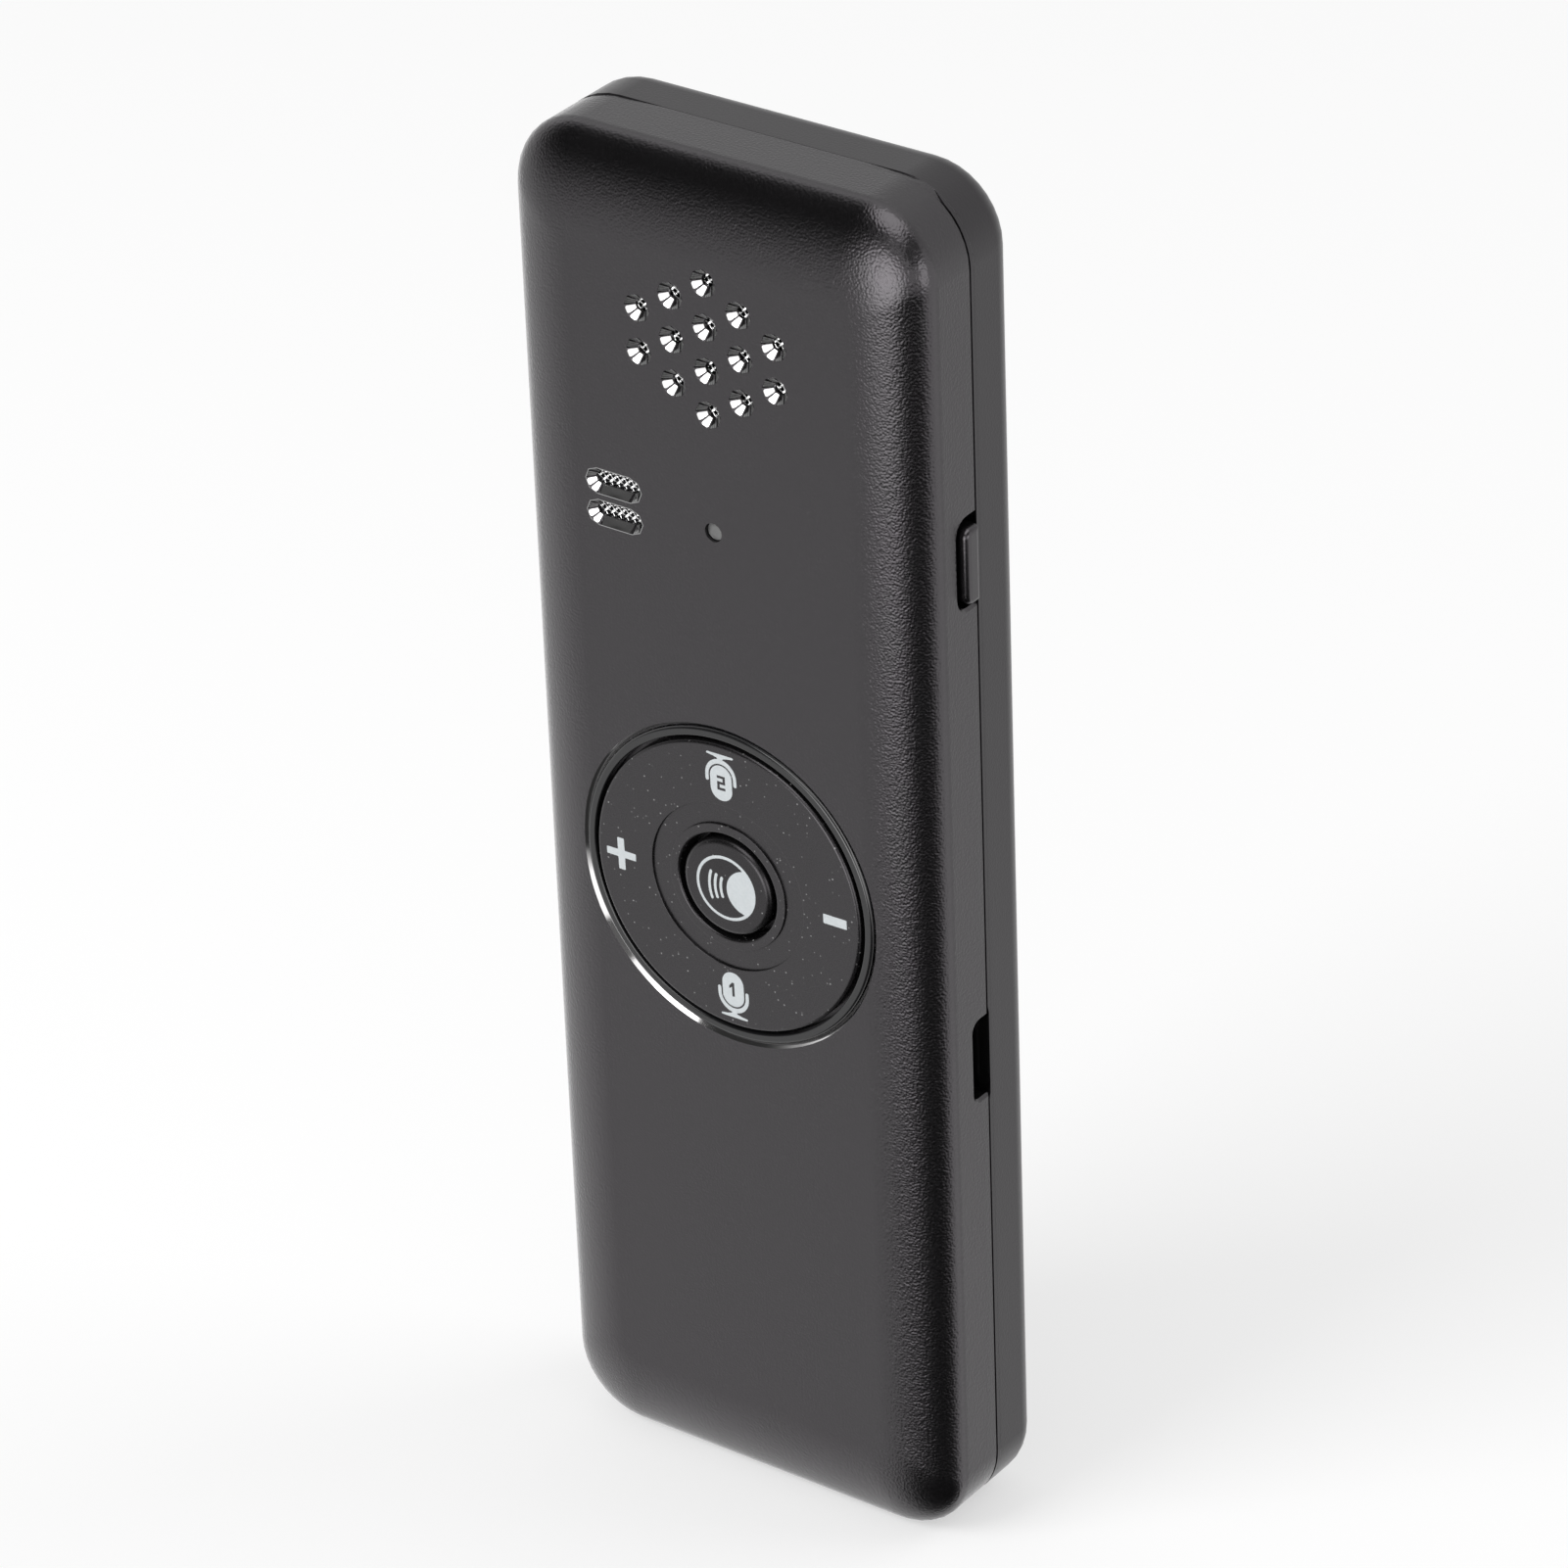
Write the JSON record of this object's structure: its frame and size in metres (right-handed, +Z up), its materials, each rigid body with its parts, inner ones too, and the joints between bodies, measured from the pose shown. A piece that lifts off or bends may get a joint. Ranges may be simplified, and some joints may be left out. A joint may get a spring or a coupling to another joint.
{
  "type": "handheld translator",
  "caption": "Handheld voice translator: a slim dark bar with a round rocker keypad and centre button, a faceted speaker grille, microphone slots, a side power key and a charging port.",
  "frame": {"origin": "centre of the bounding box's lower face, on the flat lower end that the body stands on", "axes": "+X to the right seen from the front, where the power key and the port are; +Y from the front face to the back; +Z up from the lower end to the speaker end"},
  "size_m": [0.0414, 0.0144, 0.125],
  "materials": {
    "cover_plastic": "satin",
    "gloss_ring": "polished",
    "keypad_plastic": "fine spark texture",
    "button_plastic": "satin",
    "grey_silicone": "matt",
    "light_pipe": "milky",
    "woven_mesh": "woven wire",
    "foam": "open cell",
    "black_plastic": "moulded",
    "cone_film": "thin film",
    "plated_steel": "nickel plated",
    "board_laminate": "solder mask",
    "white_plastic": "moulded",
    "battery_foil": "laminated foil",
    "tape_film": "double sided tape",
    "screw_steel": "zinc plated"
  },
  "bodies": {
    "housing": {"front_cover": "cover_plastic", "rear_cover": "cover_plastic", "keypad_bezel": "gloss_ring", "led_light_pipe": "light_pipe", "speaker_mesh": "woven_mesh", "mic_mesh": "woven_mesh", "speaker_gasket": "foam", "speaker_basket": "black_plastic", "speaker_cone": "cone_film", "speaker_magnet": "plated_steel", "mic_boot": "grey_silicone", "microphone_upper": "plated_steel", "microphone_lower": "plated_steel", "main_board": "board_laminate", "switch_up": "plated_steel", "switch_down": "plated_steel", "switch_left": "plated_steel", "switch_right": "plated_steel", "switch_centre": "plated_steel", "side_switch": "plated_steel", "led_chip": "white_plastic", "usb_shell": "plated_steel", "usb_tongue": "black_plastic", "shield_can": "plated_steel", "memory_chip": "black_plastic", "battery_connector": "white_plastic", "antenna": "white_plastic", "foam_pad": "foam", "battery_cell": "battery_foil", "battery_tape": "tape_film", "board_screws": "screw_steel"},
    "rocker_mat": {"keypad_mat": "grey_silicone"},
    "rocker": {"nav_disc": "keypad_plastic"},
    "button": {"centre_button": "button_plastic"},
    "side_key": {"power_key": "cover_plastic"}
  },
  "joints": [
    {"name": "rock_up_down", "type": "hinge", "parent": "housing", "child": "rocker_mat", "pos_m": [0, -0.006, 0.06], "axis": [1, 0, 0], "range_deg": [-1.2, 1.2], "stiffness_Nm_per_rad": 0.5},
    {"name": "rock_left_right", "type": "hinge", "parent": "rocker_mat", "child": "rocker", "pos_m": [0, -0.006, 0.06], "axis": [0, 0, 1], "range_deg": [-1.2, 1.2], "stiffness_Nm_per_rad": 0.5},
    {"name": "button_press", "type": "slide", "parent": "housing", "child": "button", "axis": [0, 1, 0], "range_m": [0, 0.0003], "stiffness_N_per_m": 3000},
    {"name": "power_press", "type": "slide", "parent": "housing", "child": "side_key", "axis": [-1, 0, 0], "range_m": [0, 0.0003], "stiffness_N_per_m": 3000}
  ]
}
